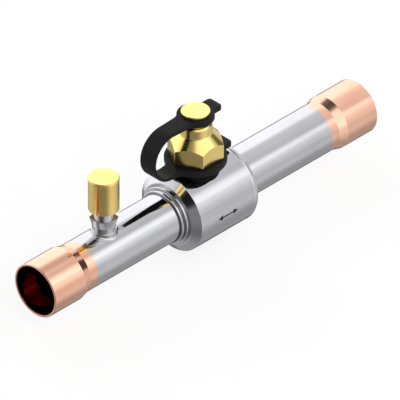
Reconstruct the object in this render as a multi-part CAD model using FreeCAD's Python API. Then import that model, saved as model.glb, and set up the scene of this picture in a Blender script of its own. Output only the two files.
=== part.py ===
"""Straight-through ball service valve for refrigerant pipes, with an access port and a tethered seal cap.

The frame: the origin is the centre of the port-side socket's mouth, +X runs along the pipe to the other
socket, and +Z points up through the spindle and the access port. All sizes are in millimetres.
"""
import FreeCAD
import Part
import math
import os

os.makedirs("parts", exist_ok=True)

Vector = FreeCAD.Vector
ORIGIN = Vector(0, 0, 0)
ALONG = Vector(1, 0, 0)
ACROSS = Vector(0, 1, 0)
UP = Vector(0, 0, 1)

# Places along the pipe
LENGTH = 190.0
STEM_X = 94.0
PORT_X = 40.1

# Clearances
BRAZE_GAP = 0.05
THREAD_GAP = 0.05
CAP_THREAD_GAP = 0.10
RUN_GAP = 0.05
SOFT_GAP = 0.10
SEAT_GAP = 0.20
LOOSE_GAP = 0.30

# How far a cutting shape runs past what it cuts
OVERCUT = 1.0

# Pipe and its copper solder sockets
PIPE_R = 11.1
PIPE_WALL = 1.0
SOCKET_BORE_R = 11.165
SOCKET_WALL = 1.085
SOCKET_DEPTH = 17.5
SOCKET_TAPER = 4.0
SOCKET_TAPER_ROUND = 0.5
SOCKET_SLEEVE = 4.3
SOCKET_MOUTH_ROUND = 0.35
SPIGOT_LENGTH = 8.0
SPIGOT_WALL = 0.85

# Ball
BALL_BORE_R = 9.0
BALL_LAND = 4.0
BALL_EDGE_ROUND = 0.4
SLOT_WIDTH = 4.6
SLOT_FLOOR_WALL = 1.2

# Seat rings and the rubber rings behind them
SEAT_BORE_STEP = 0.3
SEAT_LAND = 1.65
SEAT_THICK = 3.3
SEAT_RING_R = 0.7
CHAMBER_GAP = 0.5

# Housing
BODY_WALL = 4.4
FLOW_BORE_STEP = 0.2
PIPE_ENTRY = 5.6
PIPE_STOP = 1.6
RIM_STEP = 0.4
RIM_LENGTH = 1.6
RIM_ROUND = 0.6
END_LIP = 0.8
END_CONE = 2.7
BOSS_RISE = 1.7
BOSS_LEDGE = 0.7
TETHER_SEAT_STEP = 0.3
TETHER_SEAT_HEIGHT = 3.0
CAP_THREAD_R = 9.0
CAP_THREAD_DEPTH = 0.5
CAP_THREAD_LENGTH = 7.6
THREAD_LEAD = 0.5

# End fitting, screwed into the port side of the housing
FITTING_THREAD_LENGTH = 4.0
COLLAR_STEP = 0.3
COLLAR_LENGTH = 1.4
GROOVE_DEPTH = 0.45
GROOVE_LENGTH = 0.6
BEAD_WALL = 1.05
BEAD_LENGTH = 1.2
RING_ROUND = 0.3

# Spindle
SPINDLE_R = 4.5
FLANGE_LIP = 2.0
FLANGE_THICK = 1.8
FLANGE_CLEAR = 0.4
TANG_GAP = 0.10
TANG_REACH = 4.5
WASHER_THICK = 0.5
SPINDLE_RING_R = 0.6
SPINDLE_RING_PITCH = 4.0
SPINDLE_RING_START = 3.6
SPINDLE_HEAD = 4.4
SPINDLE_FLATS = 6.4
HEAD_CHAMFER = 0.6

# Stop pin, which swings in a quarter-turn notch in the top of the boss
STOP_PIN_R = 1.0
STOP_PIN_CLEAR = 0.4
STOP_PIN_ROOT = 0.5
NOTCH_WALL = 1.5
NOTCH_DEPTH = 2.6

# Seal cap
CAP_WALL = 1.5
CAP_LIFT_OFF = 0.8
CAP_HEX_HEIGHT = 6.4
CAP_CONE_HEIGHT = 5.25
CAP_CONE_ROUND = 1.2
CAP_NECK_WALL = 1.5
CAP_NECK_HEIGHT = 4.7
CAP_NECK_CHAMFER = 0.7
CAP_WAIST_R = 5.3
CAP_WAIST_HEIGHT = 4.35
CAP_BUTTON_LIP = 0.9
CAP_BUTTON_HEIGHT = 1.3
CAP_EDGE = 0.3
CAP_CORNER_ROUND = 0.35
CAP_HEAD_ROOM = 1.1
CAP_HEAD_CLEAR = 0.8
CAP_GASKET_THICK = 0.7
CAP_GASKET_WIDTH = 1.7

# Tether strap of the seal cap
STRAP_WIDTH = 8.3
STRAP_THICK = 1.5
STRAP_RUN = 3.9
STRAP_FLARE = 4.0
LOWER_RING_WIDTH = 3.7
LOWER_RING_THICK = 2.5
UPPER_RING_WIDTH = 2.45
UPPER_RING_THICK = 2.3
TAB_HALF_WIDTH = 3.8
TAB_ROUND = 1.4
TAB_FLARE = 1.5
LOWER_TAB_LENGTH = 4.8
UPPER_TAB_LENGTH = 4.1

# Access port, brazed into the pipe
PORT_SPIGOT_R = 3.2
PORT_SPIGOT_DEPTH = 1.7
PORT_BASE_R = 5.5
PORT_BASE_HEIGHT = 0.9
PORT_NECK_R = 5.0
PORT_NECK_HEIGHT = 3.3
PORT_FLANGE_LIP = 2.1
PORT_FLANGE_HEIGHT = 7.9
PORT_FLANGE_ROUND = 0.5
PORT_THREAD_R = 4.2
PORT_THREAD_DEPTH = 0.4
PORT_THREAD_LENGTH = 11.0
PORT_SHANK_HEIGHT = 3.0
PORT_BORE_R = 1.9
PORT_THREAD_WALL = 1.5
PORT_CORE_BORE_DEPTH = 9.6
PORT_CORE_CONE = 1.0

# Spring-loaded core in the access port
CORE_SINK = 1.2
CORE_BODY_LENGTH = 7.2
CORE_NOSE_R = 2.0
CORE_NOSE_LENGTH = 1.7
CORE_FLOOR = 1.0
CORE_SPRING_BORE_R = 1.75
CORE_GUIDE_R = 0.8
CORE_SEAL_THICK = 1.0
PIN_R = 0.6
PIN_SINK = 0.4
PIN_COLLAR_R = 1.5
PIN_COLLAR_THICK = 0.6
PIN_COLLAR_SINK = 1.8
PIN_FOOT_R = 1.2
PIN_FOOT_THICK = 0.6
PIN_SEAL_R = 1.6
PIN_SEAL_THICK = 1.2
SPRING_WIRE_R = 0.16
SPRING_TURNS = 6

# Access cap
ACCESS_CAP_WALL = 2.3
ACCESS_CAP_TOP = 3.6
ACCESS_CAP_EDGE = 0.5
ACCESS_GASKET_THICK = 1.3

# Places that several pieces share, worked out from the sizes above
BALL_R = BALL_BORE_R + BALL_LAND
CHAMBER_R = BALL_R + CHAMBER_GAP
BODY_R = CHAMBER_R + BODY_WALL
SOCKET_R = SOCKET_BORE_R + SOCKET_WALL
PIPE_SOCKET_R = PIPE_R + BRAZE_GAP
PIPE_BORE_R = PIPE_R - PIPE_WALL
SOCKET_LENGTH = SOCKET_DEPTH + SOCKET_TAPER + SOCKET_SLEEVE
FLOW_BORE_R = BALL_BORE_R + FLOW_BORE_STEP
SEAT_BORE_R = BALL_BORE_R + SEAT_BORE_STEP
SEAT_LAND_R = SEAT_BORE_R + SEAT_LAND
SEAT_SPHERE_R = BALL_R + SOFT_GAP
SEAT_BACK = math.sqrt(BALL_R ** 2 - SEAT_BORE_R ** 2) + SEAT_THICK
CHAMBER_END = SEAT_BACK + SEAT_GAP
PIPE_STOP_X = CHAMBER_END + PIPE_STOP
BODY_END = PIPE_STOP_X + PIPE_ENTRY
BODY_START = CHAMBER_END + FITTING_THREAD_LENGTH
COLLAR_R = CHAMBER_R - COLLAR_STEP
BEAD_R = PIPE_SOCKET_R + BEAD_WALL
GROOVE_R = BEAD_R - GROOVE_DEPTH
COLLAR_X = BODY_START + SEAT_GAP
FITTING_END = COLLAR_X + COLLAR_LENGTH + GROOVE_LENGTH + BEAD_LENGTH
TETHER_SEAT_R = CAP_THREAD_R + TETHER_SEAT_STEP
BOSS_R = TETHER_SEAT_R + BOSS_LEDGE
BOSS_Z = BODY_R + BOSS_RISE
THREAD_Z = BOSS_Z + TETHER_SEAT_HEIGHT
BOSS_TOP = THREAD_Z + CAP_THREAD_LENGTH
FLANGE_R = SPINDLE_R + FLANGE_LIP
FLANGE_Z = BALL_R + FLANGE_CLEAR
FLANGE_TOP = FLANGE_Z + FLANGE_THICK
WASHER_Z = FLANGE_TOP + RUN_GAP
WASHER_TOP = WASHER_Z + WASHER_THICK
SPINDLE_BORE_R = SPINDLE_R + RUN_GAP
SPINDLE_TOP = BOSS_TOP + SPINDLE_HEAD
THREAD_ROOT_R = CAP_THREAD_R - CAP_THREAD_DEPTH
NOTCH_R = THREAD_ROOT_R - NOTCH_WALL
NOTCH_Z = BOSS_TOP - NOTCH_DEPTH
STOP_PIN_REACH = NOTCH_R - STOP_PIN_CLEAR
LOWER_RING_Z = BOSS_Z + SEAT_GAP
LOWER_RING_TOP = LOWER_RING_Z + LOWER_RING_THICK
CAP_Z = LOWER_RING_TOP + CAP_LIFT_OFF
CAP_GASKET_Z = BOSS_TOP + SOFT_GAP
CAP_SEAT_Z = CAP_GASKET_Z + CAP_GASKET_THICK
CAP_HEX_TOP = CAP_Z + CAP_HEX_HEIGHT
CAP_CONE_TOP = CAP_HEX_TOP + CAP_CONE_HEIGHT
CAP_SHOULDER = CAP_CONE_TOP + CAP_NECK_HEIGHT
CAP_BUTTON_Z = CAP_SHOULDER + CAP_WAIST_HEIGHT
CAP_TOP = CAP_BUTTON_Z + CAP_BUTTON_HEIGHT
CAP_BORE_R = CAP_THREAD_R + CAP_THREAD_GAP
CAP_CIRCLE_R = (CAP_BORE_R + CAP_WALL) / math.cos(math.radians(30))
CAP_HEAD_BORE_R = SPINDLE_R + CAP_HEAD_ROOM
CAP_NECK_R = CAP_HEAD_BORE_R + CAP_NECK_WALL
CAP_BUTTON_R = CAP_WAIST_R + CAP_BUTTON_LIP
UPPER_RING_Z = CAP_BUTTON_Z - SEAT_GAP - UPPER_RING_THICK
LOWER_HOLE_R = TETHER_SEAT_R + LOOSE_GAP
LOWER_RING_R = LOWER_HOLE_R + LOWER_RING_WIDTH
UPPER_HOLE_R = CAP_WAIST_R + LOOSE_GAP
UPPER_RING_R = UPPER_HOLE_R + UPPER_RING_WIDTH
STRAP_BEND_X = LOWER_RING_R + STRAP_RUN
LOWER_TAB_REACH = LOWER_RING_R + LOWER_TAB_LENGTH
UPPER_TAB_REACH = UPPER_RING_R + UPPER_TAB_LENGTH
PORT_FLANGE_R = PORT_THREAD_R + PORT_FLANGE_LIP
PORT_CORE_BORE_R = PORT_THREAD_R - PORT_THREAD_WALL
PORT_FLANGE_Z = PIPE_R + PORT_FLANGE_HEIGHT
PORT_ROOT_R = PORT_THREAD_R - PORT_THREAD_DEPTH
PORT_SHANK_TOP = PORT_FLANGE_Z + PORT_SHANK_HEIGHT
PORT_TOP = PORT_SHANK_TOP + PORT_THREAD_LENGTH
CORE_TOP = PORT_TOP - CORE_SINK
CORE_BODY_Z = CORE_TOP - CORE_BODY_LENGTH
CORE_NOSE_Z = CORE_BODY_Z - CORE_NOSE_LENGTH
CORE_FLOOR_Z = CORE_BODY_Z + CORE_FLOOR
PIN_TOP = PORT_TOP - PIN_SINK
PIN_COLLAR_TOP = PORT_TOP - PIN_COLLAR_SINK
PIN_COLLAR_Z = PIN_COLLAR_TOP - PIN_COLLAR_THICK
PIN_SEAL_TOP = CORE_NOSE_Z - SOFT_GAP
PIN_SEAL_Z = PIN_SEAL_TOP - PIN_SEAL_THICK
PIN_FOOT_Z = PIN_SEAL_Z - PIN_FOOT_THICK
ACCESS_CAP_Z = PORT_SHANK_TOP + LOOSE_GAP
ACCESS_GASKET_Z = PORT_TOP + SOFT_GAP
ACCESS_CAP_ROOF = ACCESS_GASKET_Z + ACCESS_GASKET_THICK
ACCESS_CAP_TOP_Z = ACCESS_CAP_ROOF + ACCESS_CAP_TOP
ACCESS_CAP_BORE_R = PORT_THREAD_R + CAP_THREAD_GAP
ACCESS_CAP_R = ACCESS_CAP_BORE_R + ACCESS_CAP_WALL


def side(u, v):
    """A point of the upright plane along the pipe."""
    return Vector(u, 0, v)


def plan(u, v):
    """A point of the level plane."""
    return Vector(u, v, 0)


def outline(points, place):
    """A face with straight sides. A point is (u, v), or (u, v, radius) where its corner is rounded."""
    spots = [place(point[0], point[1]) for point in points]
    corners = []
    for i, point in enumerate(points):
        here = spots[i]
        if len(point) == 2 or point[2] == 0:
            corners.append((here, here, here))
            continue
        back = (spots[i - 1] - here).normalize()
        on = (spots[(i + 1) % len(spots)] - here).normalize()
        half = back.getAngle(on) / 2
        reach = point[2] / math.tan(half)
        middle = here + (back + on).normalize() * (point[2] / math.sin(half) - point[2])
        corners.append((here + back * reach, middle, here + on * reach))
    edges = []
    for i, (start, middle, end) in enumerate(corners):
        if (end - start).Length > 0:
            edges.append(Part.Arc(start, middle, end).toShape())
        edges.append(Part.LineSegment(end, corners[(i + 1) % len(corners)][0]).toShape())
    return Part.Face(Part.Wire(edges))


def turned_along(points):
    """A solid turned about the pipe's axis from an outline of (x, radius) points."""
    return outline(points, side).revolve(ORIGIN, ALONG, 360)


def turned_up(points, x):
    """A solid turned about the upright axis at x from an outline of (radius, z) points."""
    solid = outline(points, side).revolve(ORIGIN, UP, 360)
    solid.translate(Vector(x, 0, 0))
    return solid


def rod_along(radius, start, end):
    """A cylinder on the pipe's axis."""
    return Part.makeCylinder(radius, end - start, Vector(start, 0, 0), ALONG)


def rod_up(radius, start, end, x):
    """A cylinder on the upright axis at x."""
    return Part.makeCylinder(radius, end - start, Vector(x, 0, start), UP)


def block(low, high):
    """A box between two corners."""
    return Part.makeBox(high[0] - low[0], high[1] - low[1], high[2] - low[2], Vector(*low))


def facing_outlet(shape):
    """A shape drawn about the stem for the outlet side, moved to its place."""
    moved = shape.copy()
    moved.translate(Vector(STEM_X, 0, 0))
    return moved


def facing_port(shape):
    """A shape drawn about the stem for the outlet side, turned round to the port side."""
    moved = shape.copy()
    moved.rotate(ORIGIN, UP, 180)
    moved.translate(Vector(STEM_X, 0, 0))
    return moved


def socket():
    """Copper solder socket with its mouth at x = 0, drawn down to a spigot that is brazed into the pipe."""
    taper_end = SOCKET_DEPTH + SOCKET_TAPER
    spigot_r = PIPE_BORE_R - BRAZE_GAP
    spigot_bore_r = spigot_r - SPIGOT_WALL
    return turned_along([
        (0, SOCKET_BORE_R, SOCKET_MOUTH_ROUND),
        (0, SOCKET_R, SOCKET_MOUTH_ROUND),
        (SOCKET_DEPTH, SOCKET_R, SOCKET_TAPER_ROUND),
        (taper_end, PIPE_R, SOCKET_TAPER_ROUND),
        (SOCKET_LENGTH, PIPE_R),
        (SOCKET_LENGTH, spigot_r),
        (SOCKET_LENGTH + SPIGOT_LENGTH, spigot_r),
        (SOCKET_LENGTH + SPIGOT_LENGTH, spigot_bore_r),
        (taper_end + SOCKET_SLEEVE / 2, spigot_bore_r),
        (SOCKET_DEPTH, SOCKET_BORE_R),
    ])


def outlet_socket():
    """The like socket at the far end of the valve."""
    turned = socket()
    turned.rotate(ORIGIN, UP, 180)
    turned.translate(Vector(LENGTH, 0, 0))
    return turned


def pipe(start, end):
    """A length of steel pipe."""
    return rod_along(PIPE_R, start, end).cut(rod_along(PIPE_BORE_R, start, end))


def port_side_pipe():
    """The steel pipe between the port-side socket and the end fitting, with the hole for the access port."""
    end = STEM_X - FITTING_END + PIPE_ENTRY - SOFT_GAP
    hole = rod_up(PORT_SPIGOT_R + BRAZE_GAP, 0, 2 * PIPE_R, PORT_X)
    return pipe(SOCKET_LENGTH + BRAZE_GAP, end).cut(hole)


def outlet_pipe():
    """The steel pipe between the housing and the outlet socket."""
    return pipe(STEM_X + PIPE_STOP_X + SOFT_GAP, LENGTH - SOCKET_LENGTH - BRAZE_GAP)


def valve_housing():
    """The turned steel housing: ball chamber, pipe socket, and the boss that carries spindle and cap."""
    shell = turned_along([
        (-BODY_START, 0),
        (-BODY_START, CHAMBER_R + END_LIP, RING_ROUND),
        (END_CONE - BODY_START, BODY_R, RING_ROUND),
        (BODY_END - RIM_LENGTH, BODY_R, RING_ROUND / 2),
        (BODY_END - RIM_LENGTH, BODY_R - RIM_STEP),
        (BODY_END, BODY_R - RIM_STEP, RIM_ROUND),
        (BODY_END, 0),
    ])
    boss = turned_up([
        (0, 0),
        (BOSS_R, 0),
        (BOSS_R, BOSS_Z, RING_ROUND),
        (TETHER_SEAT_R, BOSS_Z),
        (TETHER_SEAT_R, THREAD_Z),
        (THREAD_ROOT_R, THREAD_Z),
        (THREAD_ROOT_R, BOSS_TOP - THREAD_LEAD),
        (THREAD_ROOT_R - THREAD_LEAD, BOSS_TOP),
        (0, BOSS_TOP),
    ], 0)
    passage = turned_along([
        (-BODY_START, 0),
        (-BODY_START, CHAMBER_R),
        (CHAMBER_END, CHAMBER_R),
        (CHAMBER_END, FLOW_BORE_R),
        (PIPE_STOP_X, FLOW_BORE_R),
        (PIPE_STOP_X, PIPE_SOCKET_R),
        (BODY_END, PIPE_SOCKET_R),
        (BODY_END, 0),
    ])
    flange_room = rod_up(FLANGE_R + LOOSE_GAP, 0, WASHER_TOP + RUN_GAP, 0)
    spindle_bore = rod_up(SPINDLE_BORE_R, 0, BOSS_TOP, 0)
    swing = STOP_PIN_R + LOOSE_GAP
    quarter = block((-swing, -NOTCH_R, NOTCH_Z), (NOTCH_R, swing, BOSS_TOP))
    notch = rod_up(NOTCH_R, NOTCH_Z, BOSS_TOP, 0).common(quarter)
    return facing_outlet(shell.fuse(boss).cut([passage, flange_room, spindle_bore, notch]))


def end_fitting():
    """The screwed-in end of the housing: it holds the seats against the ball and takes the port-side pipe."""
    bead_start = COLLAR_X + COLLAR_LENGTH + GROOVE_LENGTH
    return facing_port(turned_along([
        (CHAMBER_END, FLOW_BORE_R),
        (CHAMBER_END, CHAMBER_R - THREAD_GAP, RING_ROUND),
        (COLLAR_X, CHAMBER_R - THREAD_GAP),
        (COLLAR_X, COLLAR_R),
        (COLLAR_X + COLLAR_LENGTH, COLLAR_R, RING_ROUND),
        (COLLAR_X + COLLAR_LENGTH, GROOVE_R),
        (bead_start, GROOVE_R),
        (bead_start, BEAD_R, RING_ROUND),
        (FITTING_END, BEAD_R, RING_ROUND),
        (FITTING_END, PIPE_SOCKET_R),
        (FITTING_END - PIPE_ENTRY, PIPE_SOCKET_R),
        (FITTING_END - PIPE_ENTRY, FLOW_BORE_R),
    ]))


def ball():
    """The bored ball, with the slot across its top that the spindle's tang turns it by."""
    slot_floor = BALL_BORE_R + SLOT_FLOOR_WALL
    mouth = math.sqrt(BALL_R ** 2 - BALL_BORE_R ** 2)
    body = Part.makeSphere(BALL_R)
    bore = rod_along(BALL_BORE_R, -BALL_R, BALL_R)
    flare = turned_along([
        (mouth - BALL_EDGE_ROUND, 0),
        (mouth - BALL_EDGE_ROUND, BALL_BORE_R),
        (BALL_R, BALL_BORE_R + BALL_R - mouth + BALL_EDGE_ROUND),
        (BALL_R, 0),
    ])
    flares = [flare, flare.mirror(ORIGIN, ALONG)]
    slot = block((-SLOT_WIDTH / 2, -BALL_R, slot_floor), (SLOT_WIDTH / 2, BALL_R, BALL_R))
    return facing_outlet(body.cut([bore, slot] + flares))


def seat():
    """A white plastic seat ring: its inner corner is a band of a sphere that the ball lies against."""
    front = math.sqrt(SEAT_SPHERE_R ** 2 - SEAT_LAND_R ** 2)
    recess = 2 * (SEAT_RING_R + SOFT_GAP)
    outer = CHAMBER_R - SOFT_GAP
    ring = turned_along([
        (front, SEAT_BORE_R),
        (front, outer),
        (SEAT_BACK - recess, outer),
        (SEAT_BACK - recess, outer - recess),
        (SEAT_BACK, outer - recess),
        (SEAT_BACK, SEAT_BORE_R),
    ])
    return ring.cut(Part.makeSphere(SEAT_SPHERE_R))


def seat_ring():
    """The rubber ring in the back corner of a seat, which presses the seat against the ball."""
    place = Vector(SEAT_BACK - SEAT_RING_R - SOFT_GAP, 0, 0)
    major = CHAMBER_R - 2 * SOFT_GAP - SEAT_RING_R
    return Part.makeTorus(major, SEAT_RING_R, place, ALONG)


def spindle_ring_height(number):
    """The height of the middle of a spindle O-ring, counted from the lower one."""
    return WASHER_TOP + SPINDLE_RING_START + number * SPINDLE_RING_PITCH


def spindle_ring_groove(number):
    """The groove that one O-ring lies in."""
    middle = spindle_ring_height(number)
    half = SPINDLE_RING_R + SOFT_GAP
    floor = SPINDLE_R - 2 * SPINDLE_RING_R - SOFT_GAP
    ring = rod_up(SPINDLE_R + OVERCUT, middle - half, middle + half, 0)
    return ring.cut(rod_up(floor, middle - half, middle + half, 0))


def spindle():
    """The steel spindle: tang, blow-out flange, O-ring grooves, stop pin hole and square head."""
    stem = turned_up([
        (0, FLANGE_Z),
        (FLANGE_R, FLANGE_Z, HEAD_CHAMFER / 2),
        (FLANGE_R, FLANGE_TOP),
        (SPINDLE_R, FLANGE_TOP),
        (SPINDLE_R, SPINDLE_TOP - HEAD_CHAMFER),
        (SPINDLE_R - HEAD_CHAMFER, SPINDLE_TOP),
        (0, SPINDLE_TOP),
    ], 0)
    tang_half = SLOT_WIDTH / 2 - TANG_GAP
    tang_foot = BALL_BORE_R + SLOT_FLOOR_WALL + LOOSE_GAP
    tang = block((-tang_half, -TANG_REACH, tang_foot), (tang_half, TANG_REACH, FLANGE_Z + FLANGE_THICK / 2))
    grooves = [spindle_ring_groove(number) for number in range(2)]
    half = SPINDLE_FLATS / 2
    square = block((-half, -half, BOSS_TOP), (half, half, SPINDLE_TOP))
    around = rod_up(SPINDLE_R, BOSS_TOP, SPINDLE_TOP, 0).cut(square)
    pin_height = (NOTCH_Z + BOSS_TOP) / 2
    pin_hole = Part.makeCylinder(STOP_PIN_R, SPINDLE_R, Vector(STOP_PIN_ROOT, 0, pin_height), ALONG)
    return facing_outlet(stem.fuse(tang).cut(grooves + [around, pin_hole]))


def spindle_ring(number):
    """A rubber O-ring on the spindle."""
    place = Vector(STEM_X, 0, spindle_ring_height(number))
    return Part.makeTorus(SPINDLE_R - SPINDLE_RING_R, SPINDLE_RING_R, place, UP)


def thrust_washer():
    """The plastic washer between the spindle's flange and the housing."""
    washer = rod_up(FLANGE_R, WASHER_Z, WASHER_TOP, STEM_X)
    return washer.cut(rod_up(SPINDLE_BORE_R, WASHER_Z, WASHER_TOP, STEM_X))


def stop_pin():
    """The pin pressed into the spindle, which stops it at open and at closed."""
    pin_height = (NOTCH_Z + BOSS_TOP) / 2
    length = STOP_PIN_REACH - STOP_PIN_ROOT
    return Part.makeCylinder(STOP_PIN_R, length, Vector(STEM_X + STOP_PIN_ROOT, 0, pin_height), ALONG)


def hexagon(circle_r, low, high):
    """An upright six-sided prism at the stem, with two corners along the pipe."""
    turns = [math.radians(60 * i) for i in range(6)]
    corners = [Vector(circle_r * math.cos(turn), circle_r * math.sin(turn), low) for turn in turns]
    prism = Part.Face(Part.makePolygon(corners + corners[:1])).extrude(Vector(0, 0, high - low))
    upright = [edge for edge in prism.Edges if edge.BoundBox.ZLength > (high - low) / 2]
    prism = prism.makeFillet(CAP_CORNER_ROUND, upright)
    prism.translate(Vector(STEM_X, 0, 0))
    return prism


def seal_cap():
    """The brass seal cap: a hexagon with a turned cone above it, a neck, a waist and a button on top."""
    form = turned_up([
        (0, CAP_Z),
        (CAP_CIRCLE_R - CAP_EDGE, CAP_Z),
        (CAP_CIRCLE_R, CAP_Z + CAP_EDGE),
        (CAP_CIRCLE_R, CAP_HEX_TOP),
        (CAP_NECK_R, CAP_CONE_TOP, CAP_CONE_ROUND),
        (CAP_NECK_R, CAP_SHOULDER - CAP_NECK_CHAMFER),
        (CAP_NECK_R - CAP_NECK_CHAMFER, CAP_SHOULDER),
        (CAP_WAIST_R, CAP_SHOULDER),
        (CAP_WAIST_R, CAP_BUTTON_Z),
        (CAP_BUTTON_R, CAP_BUTTON_Z, CAP_EDGE / 2),
        (CAP_BUTTON_R, CAP_TOP, CAP_EDGE),
        (0, CAP_TOP),
    ], STEM_X)
    bore = rod_up(CAP_BORE_R, CAP_Z, CAP_SEAT_Z, STEM_X)
    head_room = rod_up(CAP_HEAD_BORE_R, CAP_SEAT_Z, SPINDLE_TOP + CAP_HEAD_CLEAR, STEM_X)
    return form.common(hexagon(CAP_CIRCLE_R, CAP_Z, CAP_TOP)).cut([bore, head_room])


def seal_cap_gasket():
    """The flat gasket in the seal cap, which closes on the rim of the boss."""
    outer = CAP_THREAD_R - SOFT_GAP
    gasket = rod_up(outer, CAP_GASKET_Z, CAP_SEAT_Z, STEM_X)
    return gasket.cut(rod_up(outer - CAP_GASKET_WIDTH, CAP_GASKET_Z, CAP_SEAT_Z, STEM_X))


def strip(ring_r, half_width, flare, reach, corner, low, thick):
    """A level strip that runs out from a ring along +X, with hollow flares where it leaves the ring."""
    rise = Vector(0, 0, thick)
    blank = outline([
        (0, -half_width),
        (reach, -half_width, corner),
        (reach, half_width, corner),
        (0, half_width),
    ], plan).extrude(rise)
    centre = plan(math.sqrt((ring_r + flare) ** 2 - (half_width + flare) ** 2), half_width + flare)
    on_ring = centre * (ring_r / (ring_r + flare))
    on_strip = plan(centre.x, half_width)
    bend = centre + (on_ring + on_strip - centre * 2).normalize() * flare
    foot = plan(centre.x, 0)
    web = Part.Face(Part.Wire([
        Part.Arc(on_ring, bend, on_strip).toShape(),
        Part.LineSegment(on_strip, foot).toShape(),
        Part.LineSegment(foot, ORIGIN).toShape(),
        Part.LineSegment(ORIGIN, on_ring).toShape(),
    ])).extrude(rise)
    whole = blank.fuse([web, web.mirror(ORIGIN, ACROSS)])
    whole.translate(Vector(0, 0, low))
    return whole


def cap_tether():
    """The black strap: a ring on the boss, a ring on the cap's waist, a bent band and two tabs."""
    lower_run = LOWER_RING_Z + (LOWER_RING_THICK - STRAP_THICK) / 2
    upper_run = UPPER_RING_Z + (UPPER_RING_THICK - STRAP_THICK) / 2
    bend_r = (upper_run + STRAP_THICK - lower_run) / 2
    bend_z = lower_run + bend_r
    band = STRAP_WIDTH / 2
    lower_band = strip(LOWER_RING_R, band, STRAP_FLARE, STRAP_BEND_X, 0, lower_run, STRAP_THICK)
    upper_band = strip(UPPER_RING_R, band, STRAP_FLARE, STRAP_BEND_X, 0, upper_run, STRAP_THICK)
    for run in (lower_band, upper_band):
        run.rotate(ORIGIN, UP, 180)
    bend_centre = Vector(-STRAP_BEND_X, -band, bend_z)
    bend = Part.makeCylinder(bend_r, STRAP_WIDTH, bend_centre, ACROSS)
    bend = bend.cut(Part.makeCylinder(bend_r - STRAP_THICK, STRAP_WIDTH, bend_centre, ACROSS))
    beyond = -STRAP_BEND_X - bend_r
    bend = bend.common(block((beyond, -band, bend_z - bend_r), (-STRAP_BEND_X, band, bend_z + bend_r)))
    lower_tab = strip(LOWER_RING_R, TAB_HALF_WIDTH, TAB_FLARE, LOWER_TAB_REACH, TAB_ROUND,
                      LOWER_RING_Z, LOWER_RING_THICK)
    upper_tab = strip(UPPER_RING_R, TAB_HALF_WIDTH, TAB_FLARE, UPPER_TAB_REACH, TAB_ROUND,
                      UPPER_RING_Z, UPPER_RING_THICK)
    lower_ring = rod_up(LOWER_RING_R, LOWER_RING_Z, LOWER_RING_TOP, 0)
    upper_ring = rod_up(UPPER_RING_R, UPPER_RING_Z, UPPER_RING_Z + UPPER_RING_THICK, 0)
    whole = lower_ring.fuse([upper_ring, lower_band, upper_band, bend, lower_tab, upper_tab])
    lower_hole = rod_up(LOWER_HOLE_R, LOWER_RING_Z, LOWER_RING_TOP, 0)
    upper_hole = rod_up(UPPER_HOLE_R, UPPER_RING_Z, UPPER_RING_Z + UPPER_RING_THICK, 0)
    return facing_outlet(whole.cut([lower_hole, upper_hole]).removeSplitter())


def access_port():
    """The steel access port: saddle base, flared body, shank, cap thread, and the bore for its core."""
    base = PIPE_R - PORT_SPIGOT_DEPTH
    form = turned_up([
        (0, base),
        (PORT_BASE_R, base),
        (PORT_BASE_R, PIPE_R + PORT_BASE_HEIGHT, RING_ROUND),
        (PORT_NECK_R, PIPE_R + PORT_BASE_HEIGHT),
        (PORT_NECK_R, PIPE_R + PORT_NECK_HEIGHT, PORT_FLANGE_ROUND),
        (PORT_FLANGE_R, PORT_FLANGE_Z - PORT_FLANGE_ROUND, PORT_FLANGE_ROUND),
        (PORT_FLANGE_R, PORT_FLANGE_Z),
        (PORT_THREAD_R, PORT_FLANGE_Z),
        (PORT_THREAD_R, PORT_SHANK_TOP),
        (PORT_ROOT_R, PORT_SHANK_TOP),
        (PORT_ROOT_R, PORT_TOP - THREAD_LEAD),
        (PORT_ROOT_R - THREAD_LEAD, PORT_TOP),
        (0, PORT_TOP),
    ], 0)
    saddle = rod_along(PIPE_R + BRAZE_GAP, -PORT_BASE_R - OVERCUT, PORT_BASE_R + OVERCUT)
    spigot = rod_up(PORT_SPIGOT_R, base, PIPE_R + PORT_BASE_HEIGHT, 0)
    core_floor = PORT_TOP - PORT_CORE_BORE_DEPTH
    bore = turned_up([
        (0, base),
        (PORT_BORE_R, base),
        (PORT_BORE_R, core_floor - PORT_CORE_CONE),
        (PORT_CORE_BORE_R, core_floor),
        (PORT_CORE_BORE_R, PORT_TOP),
        (0, PORT_TOP),
    ], 0)
    body = form.cut(saddle).fuse(spigot).cut(bore)
    body.translate(Vector(PORT_X, 0, 0))
    return body


def core_barrel():
    """The brass barrel of the core, screwed into the port, with the spring room inside."""
    body_r = PORT_CORE_BORE_R - THREAD_GAP
    return turned_up([
        (CORE_GUIDE_R, CORE_NOSE_Z),
        (CORE_NOSE_R - SOFT_GAP, CORE_NOSE_Z),
        (CORE_NOSE_R - SOFT_GAP, CORE_BODY_Z),
        (body_r, CORE_BODY_Z),
        (body_r, CORE_TOP),
        (CORE_SPRING_BORE_R, CORE_TOP),
        (CORE_SPRING_BORE_R, CORE_FLOOR_Z),
        (CORE_GUIDE_R, CORE_FLOOR_Z),
    ], PORT_X)


def core_barrel_seal():
    """The plastic ring round the barrel's nose, which seals it in the port."""
    top = CORE_BODY_Z - SOFT_GAP / 2
    outer = PORT_CORE_BORE_R - SOFT_GAP
    ring = rod_up(outer, top - CORE_SEAL_THICK, top, PORT_X)
    return ring.cut(rod_up(CORE_NOSE_R, top - CORE_SEAL_THICK, top, PORT_X))


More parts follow.
